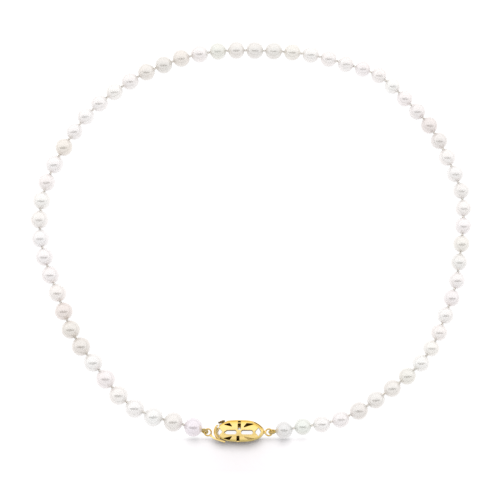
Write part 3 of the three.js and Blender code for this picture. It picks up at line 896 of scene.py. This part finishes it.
def shell_fn(upper):
    def fn(x, y, z):
        h = H_SHELL
        d = numeric_distance(dome_field(x, y, z, 0.42), h)
        d = np.clip(d, -2.0, 2.0)
        out = smax(d, -(d + WALL), 0.16)
        out = smax(out, 0.50 - z, 0.14)
        x2, y2 = x[:, :, 0], y[:, :, 0]
        for poly, rnd, both in OPENINGS:
            if not upper and not both:
                continue
            dd = sd_poly(x2, y2, inset(poly, rnd) if rnd else poly) - rnd
            out = smax(out, -dd[:, :, None], 0.20)
        if upper:
            dd = sd_poly(x2, y2, inset(RECESS, 0.08)) - 0.08
            out = smax(out, -np.maximum(dd[:, :, None] + 0 * z, -(d + 0.12)), 0.10)
        if not upper:
            dd = sd_poly(x2, y2, inset(SMALL_HOLE, 0.1)) - 0.1
            out = smax(out, -dd[:, :, None], 0.16)
        # the mouth at the left end and the tab's notch
        m1 = np.maximum(np.maximum(x + 5.2, np.maximum(-1.75 - y, y - 2.3)), z - 1.42)
        m2 = np.maximum(np.maximum(x + 4.3, 0.95 - y), z - 1.42)
        out = smax(out, -m1, 0.14)
        out = smax(out, -m2, 0.14)
        return out
    return fn


def add_painted_shade(me, depth_of):
    """Stores how far each vertex lies below the polished outside, 0 to 1, which weights the painted shade."""
    n = len(me.vertices)
    co = np.empty(n * 3, np.float32)
    me.vertices.foreach_get("co", co)
    co = co.reshape(-1, 3).astype(float)
    at = me.attributes.new("painted_shade", "FLOAT", "POINT")
    at.data.foreach_set("value", np.clip(depth_of(co), 0, 1).astype(np.float32))


def shell_depth(co):
    x, y, z = co.T
    e = 0.02
    f = dome_field(x, y, z, 0.42)
    g = np.sqrt(((dome_field(x + e, y, z, 0.42) - f) / e) ** 2 + ((dome_field(x, y + e, z, 0.42) - f) / e) ** 2
                + ((dome_field(x, y, z + e, 0.42) - f) / e) ** 2)
    d = -f / np.maximum(g, 0.02)
    return (d - 0.045) / 0.10


clasp_m = Matrix.Identity(4)
clasp_m.translation = CLASP


def clasp_piece(name, me, body, slot, mat, replaced=(), offset=None):
    me.transform(Matrix.Scale(MM, 4))
    me.materials.clear()
    me.materials.append(mat)
    m = clasp_m.copy()
    if offset is not None:
        m.translation = m.translation + Vector(offset)
    return place(name, me, m, body, slot, replaced)


upper = field_mesh("clasp_shell_upper", shell_fn(True), (-8.3, -3.7, 0.30), (8.9, 4.6, 3.0), H_SHELL)
# painted shade on the shell's inner faces and the walls of its openings
add_painted_shade(upper, shell_depth)
clasp_piece("clasp_shell_upper", upper, "clasp_body", "gold", M_GOLD, ("clasp_upper_shell",))
lower = field_mesh("clasp_shell_lower", shell_fn(False), (-8.3, -3.7, 0.30), (8.9, 4.6, 3.0), H_SHELL)
# painted shade on the shell's inner faces and the walls of its openings
add_painted_shade(lower, shell_depth)
lower.transform(Matrix.Scale(-1, 4, (0, 0, 1)))
lower.flip_normals()
clasp_piece("clasp_shell_lower", lower, "clasp_body", "gold", M_GOLD, ("clasp_lower_shell",))


def rim_fn(x, y, z):
    h = 0.06
    s = share(x, y)
    d = numeric_distance(s - 1, h)
    d = np.clip(d, -2, 2)
    out = smax(d, -(d + 0.46), 0.12)
    out = smax(out, np.abs(z) - 0.45, 0.13)
    dx, dy = x - MID[0], y - MID[1]
    led = np.interp(np.arctan2(dy, dx), GRID_A, GRID_R) - 0.42 * np.exp(-((np.arctan2(dy, dx) - math.radians(19)) / math.radians(13)) ** 4)
    groove = np.maximum(np.abs(np.hypot(dx, dy) - led - 0.08) - 0.10, 0.22 - np.abs(z))
    out = smax(out, -np.maximum(groove, np.abs(np.arctan2(dy, dx) - math.radians(19)) - math.radians(17)), 0.06)
    m1 = np.maximum(x + 5.2, np.maximum(-1.75 - y, y - 2.3))
    m2 = np.maximum(x + 4.1, 0.95 - y)
    out = smax(out, -m1, 0.12)
    out = smax(out, -m2, 0.12)
    return out


rim = field_mesh("clasp_rim_band", rim_fn, (-8.3, -3.7, -0.62), (8.9, 4.6, 0.62), 0.06)


def rim_depth(co):
    x, y, z = co.T
    dx, dy = x - MID[0], y - MID[1]
    th = np.arctan2(dy, dx)
    R = np.interp(th, GRID_A, GRID_R)
    led = R - 0.42 * np.exp(-((th - math.radians(19)) / math.radians(13)) ** 4)
    rho = np.hypot(dx, dy)
    return np.maximum(1.9 - np.abs(rho - led - 0.07) / 0.085, (R - 0.34 - rho) / 0.06) * (np.abs(z) > 0.15)


# painted shade in the seam groove and on the inner face of the rim band
add_painted_shade(rim, rim_depth)
clasp_piece("clasp_rim_band", rim, "clasp_body", "gold", M_GOLD, ("clasp_rim",))


def ring_mesh(name, R, r, big=72, small=24):
    path = [(R * math.cos(t), R * math.sin(t), 0) for t in np.linspace(0, 2 * math.pi, big, endpoint=False)]
    return joined(name, [sweep(path, r, small, closed=True)], M_RING)


for name, x, body, cad in (("tongue_jump_ring", RING_X[0], "tongue", "tongue_ring"),
                           ("clasp_jump_ring", RING_X[1], "clasp_body", "clasp_end_ring")):
    me = ring_mesh(name, RING_R, RING_WIRE)
    # painted shade on the sides of the ring wire; its top stays bright
    add_painted_shade(me, lambda co: (np.abs(np.hypot(co[:, 0], co[:, 1]) / MM - RING_R) - 0.185) / 0.075)
    m = clasp_m.copy()
    m.translation = m.translation + Vector((x, 0, 0))
    place(name, me, m, body, "gold", (cad,))


# solder foot between the clasp body's tip and its ring
def foot_fn(x, y, z):
    d = np.sqrt(((x - 8.42) / 0.42) ** 2 + ((y - 0.03) / 0.52) ** 2 + (z / 0.46) ** 2) - 1
    d = d * 0.42
    tor = np.sqrt((np.hypot(x - RING_X[1], y) - RING_R) ** 2 + z * z) - RING_WIRE
    return smin(d, np.maximum(tor + 0.02, x - 8.95), 0.25)


foot = field_mesh("clasp_ring_solder", foot_fn, (7.7, -0.95, -0.75), (9.2, 1.0, 0.75), 0.04)
clasp_piece("clasp_ring_solder", foot, "clasp_body", "gold", M_GOLD)


# ---------------------------------------------------------------- tongue
def strip_fn(path, thick, half_z, k=0.12, taper=None):
    line = spline(path, 5)

    def fn(x, y, z):
        d2 = sd_path(x[:, :, 0], y[:, :, 0], line)[:, :, None] - thick / 2
        hz = half_z if taper is None else taper(x)
        return smax(d2 + 0 * z, np.abs(z) - hz, k)
    return fn


STRAP = [[-9.36, -1.14], [-8.66, -1.74], [-7.84, -2.20], [-6.86, -2.50], [-5.80, -2.83], [-4.95, -3.06]]
strap_line = strip_fn(STRAP, 0.56, 0.9, 0.16, lambda x: np.clip(0.34 + (x + 9.4) * 0.42, 0.30, 0.9))


def strap_fn(x, y, z):
    d = strap_line(x, y, z)
    blob = np.sqrt(((x + 9.55) / 0.5) ** 2 + ((y + 0.98) / 0.42) ** 2 + (z / 0.40) ** 2) - 1
    return smin(d, blob * 0.4, 0.25)


me = field_mesh("tongue_side_strap", strap_fn, (-10.5, -3.9, -1.2), (-4.5, -0.3, 1.2), 0.05)
clasp_piece("tongue_side_strap", me, "tongue", "gold", M_GOLD, ("tongue_strap",))

LOWER = [[-7.95, 1.75], [-8.28, 0.9], [-8.38, 0.0], [-8.22, -0.65], [-7.75, ARM_LOW], [-6.0, ARM_LOW], [BEND_X - 0.6, ARM_LOW],
         [BEND_X + 0.25, ARM_LOW + 0.3], [BEND_X + 0.55, 0.1], [BEND_X + 0.45, 0.75]]
me = field_mesh("tongue_folded_leaf", strip_fn(LOWER, 0.30, 1.3, 0.12), (-8.9, -1.6, -1.6), (5.7, 2.2, 1.6), 0.055)
clasp_piece("tongue_folded_leaf", me, "tongue", "gold", M_GOLD_SHADED, ("tongue_lower_leaf",))



def cover_fn(x, y, z):
    """The end of the oval, which belongs to the tongue and closes the mouth."""
    h = 0.05
    dx, dy = x - MID[0], y - MID[1]
    th = np.arctan2(dy, dx)
    R = np.interp(th, GRID_A, GRID_R)
    rho = np.hypot(dx, dy)
    s = rho / (R + 0.76)
    p = 3.1
    F = (s ** p + (np.abs(z) / H_DOME) ** p) ** (1 / p) - 1
    d = numeric_distance(F, h)
    inner = np.minimum((R + 0.13) - rho, smax(smax((R - 0.34) - rho, np.abs(z) - 1.20, 0.08), y - 1.5, 0.1))
    out = smax(d, inner, 0.12)
    out = smax(out, x + 6.3, 0.15)
    out = smax(out, np.maximum(-2.5 - y, y - 2.45), 0.2)
    # room for the tab when it is pressed
    return smax(out, -np.maximum(np.maximum(-7.25 - x, 2.0 - y), np.abs(z) - 1.42), 0.06)


me = field_mesh("tongue_end_cover", cover_fn, (-8.9, -2.8, -1.95), (-6.1, 2.8, 1.95), 0.05)


def cover_depth(co):
    x, y, z = co.T
    R = np.interp(np.arctan2(y - MID[1], x - MID[0]), GRID_A, GRID_R)
    return 0.62 * np.clip((R + 0.20 - np.hypot(x - MID[0], y - MID[1])) / 0.16, 0, 1)


# painted shade on the part of the end cover inside the oval's outline
add_painted_shade(me, cover_depth)
clasp_piece("tongue_end_cover", me, "tongue", "gold", M_GOLD)

SPRING = [[BEND_X + 0.3, 1.16], [BEND_X - 0.35, ARM_HIGH], [-1.0, ARM_HIGH], [-4.3, ARM_HIGH], [-4.95, 1.8], [-5.5, 2.5], [-6.7, 2.38]]
me = field_mesh("tongue_spring_arm", strip_fn(SPRING, 0.30, 1.3, 0.12), (-7.2, 0.8, -1.6), (5.4, 3.0, 1.6), 0.055)
clasp_piece("tongue_spring_arm", me, "spring_leaf", "gold", M_GOLD_SHADED, ("tongue_spring_leaf",))

TAB = [[-6.95, 2.80], [-5.75, 2.95], [-4.85, 3.52], [-4.9, 4.02], [-5.15, 3.82], [-5.3, 4.06], [-5.62, 3.82], [-5.78, 3.98],
       [-6.05, 3.60], [-6.3, 3.74], [-6.55, 3.38], [-6.85, 3.52], [-7.08, 3.2]]


def tab_fn(x, y, z):
    d2 = sd_poly(x[:, :, 0], y[:, :, 0], TAB)[:, :, None] + 0.04
    return smax(d2 + 0 * z, np.abs(z) - 1.3, 0.12) - 0.04


me = field_mesh("serrated_thumb_tab", tab_fn, (-7.5, 2.4, -1.6), (-4.4, 4.5, 1.6), 0.04)
clasp_piece("serrated_thumb_tab", me, "spring_leaf", "gold", M_GOLD_TAB_SHADED, ("thumb_tab",))


# ---------------------------------------------------------------- gimp-covered silk loops
def gimp_loop(side, ring_x, pearl_i, body, cad):
    pc = C[pearl_i - 1]
    rc = Vector((CLASP.x + ring_x, CLASP.y, CLASP.z))
    d = Vector((pc.x - rc.x, pc.y - rc.y, 0)).normalized()          # from the ring towards the pearl
    contact = rc + d * RING_R                                       # the wire that the loop goes round
    a = PEARLS[pearl_i - 1][2]
    hole = pc - d * (a - 0.15)                                      # just inside the drill hole
    up = Matrix.Rotation(math.radians(32.0), 3, d) @ Vector((0, 0, 1))     # the loop leans over
    centre = contact
    # teardrop in the upright plane: out of the hole, over the wire, back under it
    rl = 0.90
    tangent_pts = []
    base = hole
    for q in np.linspace(-112, 112, 23):
        w = math.radians(q)
        tangent_pts.append(centre - d * rl * math.cos(w) + up * rl * math.sin(w))
    ctrl = [base + up * -0.14] + tangent_pts + [base + up * 0.14]
    # even spacing along the path
    P = np.array([[p.x, p.y, p.z] for p in ctrl])
    Q = []
    for k in range(len(P) - 1):
        p0 = P[k - 1] if k else 2 * P[0] - P[1]
        p3 = P[k + 2] if k + 2 < len(P) else 2 * P[-1] - P[-2]
        for j in range(8):
            t = j / 8
            Q.append(0.5 * (2 * P[k] + (P[k + 1] - p0) * t + (2 * p0 - 5 * P[k] + 4 * P[k + 1] - p3) * t * t
                            + (3 * P[k] - p0 - 3 * P[k + 1] + p3) * t ** 3))
    Q.append(P[-1])
    Q = np.array(Q)
    s = np.concatenate([[0], np.cumsum(np.linalg.norm(np.diff(Q, axis=0), axis=1))])
    total = s[-1]

    def at(u):
        p = np.array([np.interp(u, s, Q[:, k]) for k in range(3)])
        e = 0.02
        t = np.array([np.interp(min(total, u + e), s, Q[:, k]) - np.interp(max(0, u - e), s, Q[:, k]) for k in range(3)])
        return p, t / np.linalg.norm(t)

    side_v = np.array(d.cross(up))
    wire, coil_r, pitch = 0.085, 0.30, 0.20
    u0, u1 = 0.25, total - 0.25
    turns = (u1 - u0) / pitch
    n = int(turns * 16)
    path = []
    for k in range(n + 1):
        u = u0 + (u1 - u0) * k / n
        p, t = at(u)
        e1 = side_v
        e2 = np.cross(t, e1)
        q = 2 * math.pi * turns * k / n
        path.append(p + coil_r * (e1 * math.cos(q) + e2 * math.sin(q)))
    origin = np.array([centre.x, centre.y, centre.z])
    me = joined("%s_gimp_coil" % side, [sweep([p - origin for p in path], wire, 7)], M_GIMP)
    m = Matrix.Identity(4)
    m.translation = centre
    place("%s_gimp_coil" % side, me, m, body, "gimp", (cad,))
    core = [at(u)[0] - origin for u in np.linspace(0, total, 70)]
    me = joined("%s_silk_loop" % side, [sweep(core, 0.15, 12, 3, 5.0, 0.14)], M_SILK)
    place("%s_silk_loop" % side, me, m, body, "silk")


gimp_loop("left", RING_X[0], 1, "pearl_01", "left_gimp_loop")
gimp_loop("right", RING_X[1], 64, "pearl_64", "right_gimp_loop")
